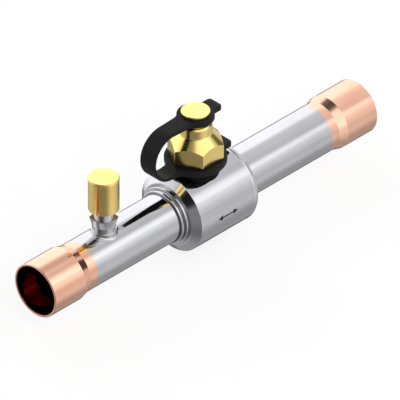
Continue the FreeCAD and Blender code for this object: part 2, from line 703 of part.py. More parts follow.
def core_pin():
    """The steel pin: its top is pressed to open the port, its collar bears on the spring."""
    return turned_up([
        (0, PIN_FOOT_Z),
        (PIN_FOOT_R, PIN_FOOT_Z),
        (PIN_FOOT_R, PIN_SEAL_Z),
        (PIN_R, PIN_SEAL_Z),
        (PIN_R, PIN_COLLAR_Z),
        (PIN_COLLAR_R, PIN_COLLAR_Z),
        (PIN_COLLAR_R, PIN_COLLAR_TOP),
        (PIN_R, PIN_COLLAR_TOP),
        (PIN_R, PIN_TOP),
        (0, PIN_TOP),
    ], PORT_X)


def core_pin_seal():
    """The rubber washer at the pin's foot, which closes the barrel's nose."""
    washer = rod_up(PIN_SEAL_R, PIN_SEAL_Z, PIN_SEAL_TOP, PORT_X)
    return washer.cut(rod_up(PIN_R + SOFT_GAP, PIN_SEAL_Z, PIN_SEAL_TOP, PORT_X))


def core_spring():
    """The coil spring between the barrel's floor and the pin's collar."""
    coil_r = (PIN_R + CORE_SPRING_BORE_R) / 2
    low = CORE_FLOOR_Z + SPRING_WIRE_R + SOFT_GAP / 2
    high = PIN_COLLAR_Z - SPRING_WIRE_R - SOFT_GAP / 2
    path = Part.makeHelix((high - low) / SPRING_TURNS, high - low, coil_r)
    section = Part.Wire(Part.makeCircle(SPRING_WIRE_R, Vector(coil_r, 0, 0), ACROSS))
    coil = Part.Wire(path.Edges).makePipeShell([section], True, True)
    coil.translate(Vector(PORT_X, 0, low))
    return coil


def access_cap():
    """The brass cap of the access port: a plain barrel."""
    form = turned_up([
        (0, ACCESS_CAP_Z),
        (ACCESS_CAP_R, ACCESS_CAP_Z),
        (ACCESS_CAP_R, ACCESS_CAP_TOP_Z, ACCESS_CAP_EDGE),
        (0, ACCESS_CAP_TOP_Z),
    ], PORT_X)
    return form.cut(rod_up(ACCESS_CAP_BORE_R, ACCESS_CAP_Z, ACCESS_CAP_ROOF, PORT_X))


def access_cap_gasket():
    """The rubber disc in the roof of the access cap, which closes on the port's rim."""
    return rod_up(PORT_THREAD_R, ACCESS_GASKET_Z, ACCESS_CAP_ROOF, PORT_X)


NODES = {
    "port_side_socket": socket(),
    "outlet_socket": outlet_socket(),
    "port_side_pipe": port_side_pipe(),
    "outlet_pipe": outlet_pipe(),
    "valve_housing": valve_housing(),
    "end_fitting": end_fitting(),
    "ball": ball(),
    "port_side_seat": facing_port(seat()),
    "outlet_seat": facing_outlet(seat()),
    "port_side_seat_ring": facing_port(seat_ring()),
    "outlet_seat_ring": facing_outlet(seat_ring()),
    "spindle": spindle(),
    "lower_spindle_ring": spindle_ring(0),
    "upper_spindle_ring": spindle_ring(1),
    "thrust_washer": thrust_washer(),
    "stop_pin": stop_pin(),
    "seal_cap": seal_cap(),
    "seal_cap_gasket": seal_cap_gasket(),
    "cap_tether": cap_tether(),
    "access_port": access_port(),
    "core_barrel": core_barrel(),
    "core_barrel_seal": core_barrel_seal(),
    "core_pin": core_pin(),
    "core_pin_seal": core_pin_seal(),
    "core_spring": core_spring(),
    "access_cap": access_cap(),
    "access_cap_gasket": access_cap_gasket(),
}

for name, shape in NODES.items():
    shape.exportStep("parts/" + name + ".step")
    print(name, "solids", len(shape.Solids), "valid", shape.isValid(), "volume", round(shape.Volume, 1))
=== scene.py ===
"""The dressed model of a straight-through ball service valve for refrigerant pipes.

All sizes are in metres. The pipe runs along X, and the spindle and the access port stand up along Z.
The sections follow the valve as it is put together, from the pipe outwards to its two caps.
"""
import math

import bpy
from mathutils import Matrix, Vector


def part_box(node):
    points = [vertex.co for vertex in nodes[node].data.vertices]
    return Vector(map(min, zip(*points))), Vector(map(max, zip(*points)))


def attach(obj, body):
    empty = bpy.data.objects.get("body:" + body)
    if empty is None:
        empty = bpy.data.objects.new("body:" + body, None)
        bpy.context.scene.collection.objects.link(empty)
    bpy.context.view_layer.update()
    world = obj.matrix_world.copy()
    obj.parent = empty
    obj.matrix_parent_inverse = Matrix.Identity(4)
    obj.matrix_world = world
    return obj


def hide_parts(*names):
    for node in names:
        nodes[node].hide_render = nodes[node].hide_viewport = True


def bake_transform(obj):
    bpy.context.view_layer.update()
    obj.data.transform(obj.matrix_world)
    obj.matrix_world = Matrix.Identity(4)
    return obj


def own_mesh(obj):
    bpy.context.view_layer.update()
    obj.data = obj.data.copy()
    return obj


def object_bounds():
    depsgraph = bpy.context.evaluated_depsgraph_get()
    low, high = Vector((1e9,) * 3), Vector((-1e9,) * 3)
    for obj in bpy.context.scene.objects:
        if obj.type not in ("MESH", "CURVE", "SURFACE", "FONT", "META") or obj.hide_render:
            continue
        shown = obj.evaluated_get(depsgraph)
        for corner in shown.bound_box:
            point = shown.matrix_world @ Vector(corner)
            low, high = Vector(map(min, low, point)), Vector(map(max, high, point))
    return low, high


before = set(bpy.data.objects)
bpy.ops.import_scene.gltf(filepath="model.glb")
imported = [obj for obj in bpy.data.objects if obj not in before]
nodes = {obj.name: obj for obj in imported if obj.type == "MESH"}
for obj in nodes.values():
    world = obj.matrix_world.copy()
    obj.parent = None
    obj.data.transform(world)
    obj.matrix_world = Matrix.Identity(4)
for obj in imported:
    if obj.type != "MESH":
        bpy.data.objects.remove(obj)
cad_low, cad_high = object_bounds()


# Pipes: two lengths of drawn steel tube, polished and plated.
# They carry the refrigerant from socket to socket, and are brazed into the housing and its end fitting.
# Drawing leaves faint lines along the tube, and the polish hides all but a trace of them.
MM = 0.001
DRAWN_LINE_WIDTH = 0.35 * MM
DRAWN_LINE_LENGTH = 40 * MM


def new_group(name, inputs, outputs):
    """An empty shader group with named inputs and outputs, and the nodes at its two ends."""
    group = bpy.data.node_groups.new(name, "ShaderNodeTree")
    for label, kind, value in inputs:
        socket = group.interface.new_socket(label, in_out="INPUT", socket_type=kind)
        socket.default_value = value
    for label, kind in outputs:
        group.interface.new_socket(label, in_out="OUTPUT", socket_type=kind)
    return group, group.nodes.new("NodeGroupInput"), group.nodes.new("NodeGroupOutput")


def drawn_lines_group():
    """Faint lines along the piece's axis, Z: a noise that is long that way and fine across it."""
    group, given, result = new_group(
        "drawn_lines",
        [("Vector", "NodeSocketVector", (0, 0, 0))],
        [("Height", "NodeSocketFloat")],
    )
    scale = group.nodes.new("ShaderNodeVectorMath")
    scale.operation = "MULTIPLY"
    scale.inputs[1].default_value = (1 / DRAWN_LINE_WIDTH, 1 / DRAWN_LINE_WIDTH, 1 / DRAWN_LINE_LENGTH)
    noise = group.nodes.new("ShaderNodeTexNoise")
    noise.inputs["Scale"].default_value = 1.0
    noise.inputs["Detail"].default_value = 2.0
    group.links.new(given.outputs["Vector"], scale.inputs[0])
    group.links.new(scale.outputs["Vector"], noise.inputs["Vector"])
    group.links.new(noise.outputs["Fac"], result.inputs["Height"])
    return group


def handled_gloss_group():
    """Roughness that drifts over the surface, with smears where the piece has been held."""
    group, given, result = new_group(
        "handled_gloss",
        [
            ("Vector", "NodeSocketVector", (0, 0, 0)),
            ("Roughness", "NodeSocketFloat", 0.1),
            ("Drift", "NodeSocketFloat", 0.04),
        ],
        [("Roughness", "NodeSocketFloat")],
    )
    clouds = group.nodes.new("ShaderNodeTexNoise")
    clouds.inputs["Scale"].default_value = 90.0
    clouds.inputs["Detail"].default_value = 4.0
    clouds.inputs["Roughness"].default_value = 0.6
    smears = group.nodes.new("ShaderNodeMapRange")
    smears.inputs["From Min"].default_value = 0.45
    smears.inputs["From Max"].default_value = 0.75
    total = group.nodes.new("ShaderNodeMath")
    total.operation = "MULTIPLY_ADD"
    group.links.new(given.outputs["Vector"], clouds.inputs["Vector"])
    group.links.new(clouds.outputs["Fac"], smears.inputs["Value"])
    group.links.new(smears.outputs["Result"], total.inputs[0])
    group.links.new(given.outputs["Drift"], total.inputs[1])
    group.links.new(given.outputs["Roughness"], total.inputs[2])
    group.links.new(total.outputs[0], result.inputs["Roughness"])
    return group


def tone_group():
    """A colour that wanders between two close tones in soft patches."""
    group, given, result = new_group(
        "soft_tone",
        [
            ("Vector", "NodeSocketVector", (0, 0, 0)),
            ("Bright", "NodeSocketColor", (1, 1, 1, 1)),
            ("Deep", "NodeSocketColor", (1, 1, 1, 1)),
        ],
        [("Color", "NodeSocketColor")],
    )
    patches = group.nodes.new("ShaderNodeTexNoise")
    patches.inputs["Scale"].default_value = 55.0
    patches.inputs["Detail"].default_value = 3.0
    share = group.nodes.new("ShaderNodeMapRange")
    share.inputs["From Min"].default_value = 0.35
    share.inputs["From Max"].default_value = 0.70
    # A Mix node repeats its socket names for each kind of value, so the colour ones go by number.
    tone = group.nodes.new("ShaderNodeMix")
    tone.data_type = "RGBA"
    group.links.new(given.outputs["Vector"], patches.inputs["Vector"])
    group.links.new(patches.outputs["Fac"], share.inputs["Value"])
    group.links.new(share.outputs["Result"], tone.inputs[0])
    group.links.new(given.outputs["Bright"], tone.inputs[6])
    group.links.new(given.outputs["Deep"], tone.inputs[7])
    group.links.new(tone.outputs[2], result.inputs["Color"])
    return group


HANDLED_GLOSS = handled_gloss_group()
SOFT_TONE = tone_group()
DRAWN_LINES = drawn_lines_group()


def place_group(material, group, values):
    """Puts a shader group into a material with its own values."""
    node = material.node_tree.nodes.new("ShaderNodeGroup")
    node.node_tree = group
    for label, value in values.items():
        node.inputs[label].default_value = value
    return node


def metal(name, bright, deep, roughness, drift, marks, depth, centre=(0, 0, 0), along_x=False):
    """A bare metal: two close tones, uneven gloss and tool marks, drawn about the piece's own axis."""
    material = bpy.data.materials.new(name)
    material.use_nodes = True
    make, join = material.node_tree.nodes.new, material.node_tree.links.new
    shader = material.node_tree.nodes["Principled BSDF"]
    shader.inputs["Metallic"].default_value = 1.0
    coordinates = make("ShaderNodeTexCoord")
    about_axis = make("ShaderNodeMapping")
    about_axis.vector_type = "TEXTURE"
    about_axis.inputs["Location"].default_value = centre
    if along_x:
        about_axis.inputs["Rotation"].default_value = (0, math.pi / 2, 0)
    join(coordinates.outputs["Object"], about_axis.inputs["Vector"])
    tone = place_group(material, SOFT_TONE, {"Bright": (*bright, 1), "Deep": (*deep, 1)})
    join(coordinates.outputs["Object"], tone.inputs["Vector"])
    join(tone.outputs["Color"], shader.inputs["Base Color"])
    gloss = place_group(material, HANDLED_GLOSS, {"Roughness": roughness, "Drift": drift})
    join(coordinates.outputs["Object"], gloss.inputs["Vector"])
    join(gloss.outputs["Roughness"], shader.inputs["Roughness"])
    lines = place_group(material, marks, {})
    join(about_axis.outputs["Vector"], lines.inputs["Vector"])
    bump = make("ShaderNodeBump")
    bump.inputs["Strength"].default_value = 1.0
    bump.inputs["Distance"].default_value = depth
    join(lines.outputs["Height"], bump.inputs["Height"])
    join(bump.outputs["Normal"], shader.inputs["Normal"])
    return material


def dress(material, *names):
    """Gives CAD nodes their finished material."""
    for name in names:
        nodes[name].material_slots[0].material = material


STEEL_BRIGHT = (0.62, 0.62, 0.65)
STEEL_DEEP = (0.59, 0.59, 0.62)
pipe_steel = metal("drawn_steel", STEEL_BRIGHT, STEEL_DEEP, roughness=0.06, drift=0.03,
                   marks=DRAWN_LINES, depth=0.0012 * MM, along_x=True)
dress(pipe_steel, "port_side_pipe", "outlet_pipe")


# Housing and end fitting: turned from steel bar, polished and plated.
# The fitting screws into the port side of the housing and holds the seats against the ball.
# The lathe leaves fine rings round the pipe's axis, on the ends as well as on the barrel.
def turned_rings_group():
    """Rings round the piece's axis, Z: a noise that knows only how far along and how far out it is."""
    group, given, result = new_group(
        "turned_rings",
        [("Vector", "NodeSocketVector", (0, 0, 0)), ("Rings per metre", "NodeSocketFloat", 2600.0)],
        [("Height", "NodeSocketFloat")],
    )
    apart = group.nodes.new("ShaderNodeSeparateXYZ")
    flat = group.nodes.new("ShaderNodeCombineXYZ")
    radius = group.nodes.new("ShaderNodeVectorMath")
    radius.operation = "LENGTH"
    profile = group.nodes.new("ShaderNodeCombineXYZ")
    noise = group.nodes.new("ShaderNodeTexNoise")
    noise.noise_dimensions = "2D"
    noise.inputs["Detail"].default_value = 2.0
    group.links.new(given.outputs["Vector"], apart.inputs[0])
    group.links.new(apart.outputs["X"], flat.inputs["X"])
    group.links.new(apart.outputs["Y"], flat.inputs["Y"])
    group.links.new(flat.outputs[0], radius.inputs[0])
    group.links.new(apart.outputs["Z"], profile.inputs["X"])
    group.links.new(radius.outputs["Value"], profile.inputs["Y"])
    group.links.new(profile.outputs[0], noise.inputs["Vector"])
    group.links.new(given.outputs["Rings per metre"], noise.inputs["Scale"])
    group.links.new(noise.outputs["Fac"], result.inputs["Height"])
    return group


TURNED_RINGS = turned_rings_group()
body_steel = metal("turned_steel_body", STEEL_BRIGHT, STEEL_DEEP, roughness=0.07, drift=0.03,
                   marks=TURNED_RINGS, depth=0.0012 * MM, along_x=True)
dress(body_steel, "valve_housing", "end_fitting")


# Boss thread: cut on the boss above the ring of the strap, for the seal cap.
# The housing's solid is plain at the root of the thread, so the ridge is a piece of its own.
# It is a right-hand ridge that rises round the boss and runs out at both ends.
cap_low, cap_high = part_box("seal_cap")
STEM_X = (cap_low.x + cap_high.x) / 2
housing_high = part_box("valve_housing")[1]
BOSS_TOP = housing_high.z
BOSS_THREAD_LENGTH = 7.6 * MM
BOSS_ROOT_R = 8.5 * MM
BOSS_CREST_R = 9.0 * MM
CAP_PITCH = 1.5 * MM
CAP_RIDGE_TOP = 0.42 * MM
THREAD_END = 0.55 * MM
THREAD_STEPS = 60
RUN_OUT_STEPS = 18
RUN_OUT_FOOT = 0.1
SINK = 0.06 * MM
FLANK = math.tan(math.radians(30))


def deselect_all():
    """Selects nothing, so that the next operator acts on its own piece only."""
    if bpy.context.mode != "OBJECT":
        bpy.ops.object.mode_set(mode="OBJECT")
    bpy.ops.object.select_all(action="DESELECT")


def outline_piece(name, points):
    """A piece that starts as one closed loop of edges through the given points."""
    deselect_all()
    bpy.ops.mesh.primitive_circle_add(vertices=len(points), radius=MM)
    piece = bpy.context.object
    piece.name = name
    for vertex, point in zip(piece.data.vertices, points):
        vertex.co = point
    return piece


def apply_modifier(piece, kind, **settings):
    """Adds a modifier with its settings and applies it."""
    modifier = piece.modifiers.new(kind.lower(), kind)
    for label, value in settings.items():
        setattr(modifier, label, value)
    bpy.ops.object.modifier_apply(modifier=modifier.name)


def close_up(threshold=0.001 * MM):
    """Merges what lies together, closes open ends and turns the faces outwards, in edit mode."""
    bpy.ops.mesh.select_all(action="SELECT")
    bpy.ops.mesh.remove_doubles(threshold=threshold)
    bpy.ops.mesh.select_all(action="DESELECT")
    bpy.ops.mesh.select_non_manifold()
    bpy.ops.mesh.fill_holes(sides=0)
    bpy.ops.mesh.select_all(action="SELECT")
    bpy.ops.mesh.normals_make_consistent(inside=False)


def finish_piece(piece, material, body, angle=35):
    """Gives a new piece its place in the mesh, its shading, its material and the body that it rides on."""
    deselect_all()
    piece.select_set(True)
    bpy.context.view_layer.objects.active = piece
    bpy.ops.object.transform_apply(location=True, rotation=True, scale=True)
    bpy.ops.object.shade_smooth_by_angle(angle=math.radians(angle))
    piece.data.materials.clear()
    piece.data.materials.append(material)
    if body:
        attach(piece, body)


def thread(name, root_r, crest_r, ridge_top, pitch, centre_x, start_z, turns):
    """A helical ridge from its root to its crest, which runs out at both ends.

    A crest inside the root makes an inside thread.
    """
    outward = 1 if crest_r > root_r else -1
    half_top = ridge_top / 2
    half_foot = half_top + (abs(crest_r - root_r) + SINK) * FLANK
    foot_r = root_r - outward * SINK
    section = [(foot_r, 0, -half_foot), (crest_r, 0, -half_top),
               (crest_r, 0, half_top), (foot_r, 0, half_foot)]
    ridge = outline_piece(name, section)
    steps = round(THREAD_STEPS * turns)
    apply_modifier(ridge, "SCREW", axis="Z", angle=2 * math.pi * turns, screw_offset=pitch * turns,
                   steps=steps, render_steps=steps, iterations=1)
    last = len(ridge.data.vertices) // len(section) - 1
    for number, vertex in enumerate(ridge.data.vertices):
        step = number // len(section)
        share = min(1.0, RUN_OUT_FOOT + min(step, last - step) / RUN_OUT_STEPS)
        radius = math.hypot(vertex.co.x, vertex.co.y)
        faded = foot_r + (radius - foot_r) * share
        vertex.co.x *= faded / radius
        vertex.co.y *= faded / radius
    bpy.ops.object.mode_set(mode="EDIT")
    close_up()
    bpy.ops.object.mode_set(mode="OBJECT")
    ridge.location = (centre_x, 0, start_z)
    return ridge


thread_z = BOSS_TOP - BOSS_THREAD_LENGTH
boss_turns = (BOSS_THREAD_LENGTH - 2 * THREAD_END) / CAP_PITCH
boss_thread = thread("boss_thread", BOSS_ROOT_R, BOSS_CREST_R, CAP_RIDGE_TOP, CAP_PITCH,
                     STEM_X, thread_z + THREAD_END, boss_turns)
boss_steel = metal("turned_steel_boss", STEEL_BRIGHT, STEEL_DEEP, roughness=0.10, drift=0.04,
                   marks=TURNED_RINGS, depth=0.0012 * MM, centre=(STEM_X, 0, 0))
finish_piece(boss_thread, boss_steel, "valve_body")


# Flow arrow: a generic double-headed arrow in black ink, printed low on the front of the housing.
# It says that the valve may be fitted either way round.
# The ink follows the round of the housing and stands a hair proud of the steel.
INK_THICK = 0.02 * MM
ARROW_X = STEM_X + 1.4 * MM
ARROW_LENGTH = 11.6 * MM
ARROW_HEAD_LENGTH = 2.7 * MM
ARROW_HEAD_HALF = 1.25 * MM
ARROW_LINE_HALF = 0.33 * MM
HOUSING_R = housing_high.y

tip = ARROW_LENGTH / 2
neck = tip - ARROW_HEAD_LENGTH
right_half = [(neck, -ARROW_LINE_HALF), (neck, -ARROW_HEAD_HALF), (tip, 0), (neck, ARROW_HEAD_HALF),
              (neck, ARROW_LINE_HALF)]
left_half = [(-along, -up) for along, up in right_half]
flow_arrow = outline_piece("flow_arrow", [(along, 0, up) for along, up in right_half + left_half])
bpy.ops.object.mode_set(mode="EDIT")
bpy.ops.mesh.select_all(action="SELECT")
bpy.ops.mesh.edge_face_add()
bpy.ops.mesh.quads_convert_to_tris()
bpy.ops.mesh.subdivide(number_cuts=3)
bpy.ops.object.mode_set(mode="OBJECT")
apply_modifier(flow_arrow, "SOLIDIFY", thickness=INK_THICK, offset=0.0)
for vertex in flow_arrow.data.vertices:
    around = vertex.co.z / HOUSING_R
    out = HOUSING_R - vertex.co.y
    vertex.co = (ARROW_X + vertex.co.x, -out * math.cos(around), out * math.sin(around))
bpy.ops.object.mode_set(mode="EDIT")
close_up()
bpy.ops.object.mode_set(mode="OBJECT")


def matt(name, colour, roughness, grain, depth, specular=0.5):
    """A plastic, rubber or ink with a fine even grain and two close tones."""
    material = bpy.data.materials.new(name)
    material.use_nodes = True
    make, join = material.node_tree.nodes.new, material.node_tree.links.new
    shader = material.node_tree.nodes["Principled BSDF"]
    shader.inputs["Roughness"].default_value = roughness
    shader.inputs["Specular IOR Level"].default_value = specular
    coordinates = make("ShaderNodeTexCoord")
    noise = make("ShaderNodeTexNoise")
    noise.inputs["Scale"].default_value = grain
    noise.inputs["Detail"].default_value = 3.0
    join(coordinates.outputs["Object"], noise.inputs["Vector"])
    tone = place_group(material, SOFT_TONE, {
        "Bright": (*[min(1.0, 1.15 * part) for part in colour], 1),
        "Deep": (*[0.9 * part for part in colour], 1),
    })
    join(coordinates.outputs["Object"], tone.inputs["Vector"])
    join(tone.outputs["Color"], shader.inputs["Base Color"])
    bump = make("ShaderNodeBump")
    bump.inputs["Strength"].default_value = 1.0
    bump.inputs["Distance"].default_value = depth
    join(noise.outputs["Fac"], bump.inputs["Height"])
    join(bump.outputs["Normal"], shader.inputs["Normal"])
    return material


ink = matt("black_ink", colour=(0.012, 0.012, 0.013), roughness=0.5, grain=3000.0,
           depth=0.002 * MM, specular=0.2)
finish_piece(flow_arrow, ink, "valve_body")


# Copper solder sockets: drawn from tube, swaged out to size at the mouth and brazed into the pipe.
# They are left bare for the installer's solder, so the outside is bright pink copper.
# Inside, the wall is painted a dark red: painted shade that stands in for the dim, reddened light deep in
# the socket.
INSIDE_PAINTED_SHADE = (0.50, 0.17, 0.115, 1)
COPPER_BRIGHT = (1.0, 0.59, 0.435)
COPPER_DEEP = (0.97, 0.53, 0.375)
copper = metal("bare_copper", COPPER_BRIGHT, COPPER_DEEP, roughness=0.075, drift=0.04,
               marks=DRAWN_LINES, depth=0.0015 * MM, along_x=True)
# A face that looks towards the pipe's axis belongs to the inside, and gets the painted shade.
make, join = copper.node_tree.nodes.new, copper.node_tree.links.new
shader = copper.node_tree.nodes["Principled BSDF"]
coordinates = make("ShaderNodeTexCoord")
spoke = make("ShaderNodeVectorMath")
spoke.operation = "MULTIPLY"
spoke.inputs[1].default_value = (0, 1, 1)
outward = make("ShaderNodeVectorMath")
outward.operation = "NORMALIZE"
facing = make("ShaderNodeVectorMath")
facing.operation = "DOT_PRODUCT"
inside = make("ShaderNodeMapRange")
inside.inputs["From Min"].default_value = -0.1
inside.inputs["From Max"].default_value = -0.5
inside_shade_mix = make("ShaderNodeMix")
inside_shade_mix.data_type = "RGBA"
inside_shade_mix.inputs[7].default_value = INSIDE_PAINTED_SHADE
join(coordinates.outputs["Object"], spoke.inputs[0])
join(spoke.outputs["Vector"], outward.inputs[0])
join(outward.outputs["Vector"], facing.inputs[0])
join(coordinates.outputs["Normal"], facing.inputs[1])
join(facing.outputs["Value"], inside.inputs["Value"])
join(inside.outputs["Result"], inside_shade_mix.inputs[0])
join(shader.inputs["Base Color"].links[0].from_socket, inside_shade_mix.inputs[6])
join(inside_shade_mix.outputs[2], shader.inputs["Base Color"])
dress(copper, "port_side_socket", "outlet_socket")


# Brazing and welding: silver alloy that has flowed into each joint and set with a small hollow fillet.
# The rings where the pipes enter the housing are painted near black, as painted shade in the gap of each
# joint. The one round the port's foot is bright.
# A flush seam joins copper to steel at each socket, and a weld bead rings the housing near its far end.
PIPE_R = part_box("outlet_pipe")[1].y
FILLET_POINTS = 6
SPIN_STEPS = 120
PIPE_CENTRE = (0, 0, 0)
PIPE_AXIS = (1, 0, 0)
UP = (0, 0, 1)


def hollow_corner(leg, sink):
    """The section of a hollow fillet in a right-angled corner: out along one side, up the other."""
    turns = [math.pi / 2 * i / (FILLET_POINTS - 1) for i in range(FILLET_POINTS)]
    hollow = [(leg - leg * math.sin(turn), leg - leg * math.cos(turn)) for turn in turns]
    return [(-sink, -sink), (leg, -sink)] + hollow + [(-sink, leg)]


def spun(name, points, centre, axis):
    """A closed ring: an outline spun once round an axis."""
    piece = outline_piece(name, points)
    bpy.ops.object.mode_set(mode="EDIT")
    bpy.ops.mesh.select_all(action="SELECT")
    bpy.ops.mesh.spin(steps=SPIN_STEPS, angle=2 * math.pi, center=centre, axis=axis)
    close_up()
    bpy.ops.object.mode_set(mode="OBJECT")
    return piece


braze = metal("braze_alloy", bright=(0.62, 0.61, 0.60), deep=(0.56, 0.55, 0.53), roughness=0.14,
              drift=0.08, marks=DRAWN_LINES, depth=0.001 * MM)
BRAZE_LEG = 0.40 * MM
BRAZE_SINK = 0.10 * MM
fitting_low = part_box("end_fitting")[0]
# Near-black braze: painted shade for the dark gaps where the pipes enter the housing and the end fitting.
braze_painted_shade = metal("braze_painted_shade", bright=(0.16, 0.15, 0.14), deep=(0.10, 0.095, 0.09), roughness=0.30,
                     drift=0.10, marks=DRAWN_LINES, depth=0.001 * MM)
for name, face_x, away in (("outlet_braze", housing_high.x, 1), ("port_side_braze", fitting_low.x, -1)):
    section = [(face_x + away * out, 0, PIPE_R + up) for out, up in hollow_corner(BRAZE_LEG, BRAZE_SINK)]
    finish_piece(spun(name, section, PIPE_CENTRE, PIPE_AXIS), braze_painted_shade, "valve_body")

SEAM_HALF = 0.14 * MM
SEAM_RISE = 0.015 * MM
port_side_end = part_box("port_side_pipe")[0].x
outlet_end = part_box("outlet_pipe")[1].x
for name, seam_x in (("port_side_seam", port_side_end), ("outlet_seam", outlet_end)):
    section = [(seam_x - SEAM_HALF, 0, PIPE_R - BRAZE_SINK), (seam_x + SEAM_HALF, 0, PIPE_R - BRAZE_SINK),
               (seam_x + SEAM_HALF, 0, PIPE_R), (seam_x, 0, PIPE_R + SEAM_RISE),
               (seam_x - SEAM_HALF, 0, PIPE_R)]
    finish_piece(spun(name, section, PIPE_CENTRE, PIPE_AXIS), braze, "valve_body")

WELD_FROM_END = 1.75 * MM
WELD_HALF = 0.65 * MM
WELD_RISE = 0.10 * MM
WELD_EDGE_SINK = 0.02 * MM
WELD_POINTS = 9
weld_x = housing_high.x - WELD_FROM_END
weld_edge_r = HOUSING_R - WELD_EDGE_SINK
section = [(weld_x - WELD_HALF, 0, HOUSING_R - BRAZE_SINK)]
for step in range(WELD_POINTS):
    across = -1 + 2 * step / (WELD_POINTS - 1)
    section.append((weld_x + WELD_HALF * across, 0, weld_edge_r + WELD_RISE * (1 - across ** 2)))
section.append((weld_x + WELD_HALF, 0, HOUSING_R - BRAZE_SINK))
housing_weld = spun("housing_weld", section, PIPE_CENTRE, PIPE_AXIS)
finish_piece(housing_weld, body_steel, "valve_body", angle=60)

port_low, port_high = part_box("access_port")
PORT_X = (port_low.x + port_high.x) / 2
PORT_BASE_R = 5.5 * MM
PORT_BRAZE_LEG = 0.75 * MM
section = [(PORT_X + PORT_BASE_R + out, 0, up) for out, up in hollow_corner(PORT_BRAZE_LEG, BRAZE_SINK)]
port_braze = spun("port_braze", section, (PORT_X, 0, 0), UP)
for vertex in port_braze.data.vertices:
    vertex.co.z += math.sqrt(PIPE_R ** 2 - vertex.co.y ** 2)
finish_piece(port_braze, braze, "valve_body")


# Ball, spindle and seats: what is seen through the sockets and when the seal cap is off.
# The ball is ground and chromed, the spindle and its stop pin are turned steel.
# The seats and the thrust washer are white fluoroplastic, with black rubber rings behind them.
ball_chrome = metal("ground_chrome", bright=(0.68, 0.68, 0.70), deep=(0.64, 0.64, 0.66), roughness=0.05,
                    drift=0.02, marks=TURNED_RINGS, depth=0.0008 * MM, centre=(STEM_X, 0, 0),
                    along_x=True)
spindle_steel = metal("spindle_steel", bright=(0.52, 0.52, 0.54), deep=(0.46, 0.46, 0.48), roughness=0.20,
                      drift=0.08, marks=TURNED_RINGS, depth=0.003 * MM, centre=(STEM_X, 0, 0))
seat_plastic = matt("seat_plastic", colour=(0.84, 0.84, 0.81), roughness=0.42, grain=900.0,
                    depth=0.004 * MM)
rubber = matt("ring_rubber", colour=(0.018, 0.018, 0.018), roughness=0.55, grain=1500.0,
              depth=0.004 * MM)
dress(ball_chrome, "ball")
dress(spindle_steel, "spindle", "stop_pin")
dress(seat_plastic, "port_side_seat", "outlet_seat", "thrust_washer")
dress(rubber, "port_side_seat_ring", "outlet_seat_ring", "lower_spindle_ring", "upper_spindle_ring")


# Seal cap: turned from hexagon brass bar, with a cone above the flats, a neck, a waist and a button.
# It screws down over the boss onto a fibre gasket, and its inside thread meshes with the boss thread.
# The bright turned brass is a little green in its highlights.
BRASS_BRIGHT = (1.0, 0.78, 0.29)
BRASS_DEEP = (0.93, 0.67, 0.22)
CAP_BORE_R = 9.1 * MM
CAP_CREST_R = 8.55 * MM
CAP_THREAD_START = 0.7 * MM
CAP_THREAD_LENGTH = 6.6 * MM
cap_brass = metal("turned_brass_cap", BRASS_BRIGHT, BRASS_DEEP, roughness=0.18, drift=0.06,
                  marks=TURNED_RINGS, depth=0.002 * MM, centre=(STEM_X, 0, 0))
gasket_fibre = matt("gasket_fibre", colour=(0.20, 0.33, 0.26), roughness=0.75, grain=2500.0,
                    depth=0.010 * MM)
dress(cap_brass, "seal_cap")
dress(gasket_fibre, "seal_cap_gasket")


def meshing_start(lowest, other_start, pitch):
    """The first height above lowest at which one ridge starts half a pitch from the other's turns."""
    middle = other_start + pitch / 2
    return middle + pitch * math.ceil((lowest - middle) / pitch)


cap_thread_z = meshing_start(cap_low.z + CAP_THREAD_START, thread_z + THREAD_END, CAP_PITCH)
cap_turns = (cap_low.z + CAP_THREAD_START + CAP_THREAD_LENGTH - cap_thread_z) / CAP_PITCH
cap_thread = thread("cap_thread", CAP_BORE_R, CAP_CREST_R, CAP_RIDGE_TOP, CAP_PITCH,
                    STEM_X, cap_thread_z, cap_turns)
finish_piece(cap_thread, cap_brass, "seal_cap")


# Boss sleeve: a thin near-black band round the boss, under the strap, painted shade that stands in for the
# shadow and dark reflection under the strap's ring.
# Its foot is cut to the round of the housing.
SLEEVE_R = 10.35 * MM
SLEEVE_INSIDE_R = 9.98 * MM
SLEEVE_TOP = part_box("cap_tether")[0].z - 0.03 * MM
SLEEVE_SINK = 0.15 * MM
section = [(STEM_X + SLEEVE_INSIDE_R, 0, 0), (STEM_X + SLEEVE_R, 0, 0),
           (STEM_X + SLEEVE_R, 0, SLEEVE_TOP), (STEM_X + SLEEVE_INSIDE_R, 0, SLEEVE_TOP)]
boss_sleeve = spun("boss_sleeve", section, (STEM_X, 0, 0), UP)
for vertex in boss_sleeve.data.vertices:
    if vertex.co.z < SLEEVE_TOP / 2:
        vertex.co.z = math.sqrt(HOUSING_R ** 2 - vertex.co.y ** 2) - SLEEVE_SINK
# Nearly black with little gloss: painted shade and painted dark reflection under the strap's ring.
sleeve_painted_shade = matt("sleeve_painted_shade", colour=(0.005, 0.005, 0.005), roughness=0.5, grain=1500.0,
                     depth=0.003 * MM, specular=0.06)
finish_piece(boss_sleeve, sleeve_painted_shade, "valve_body")


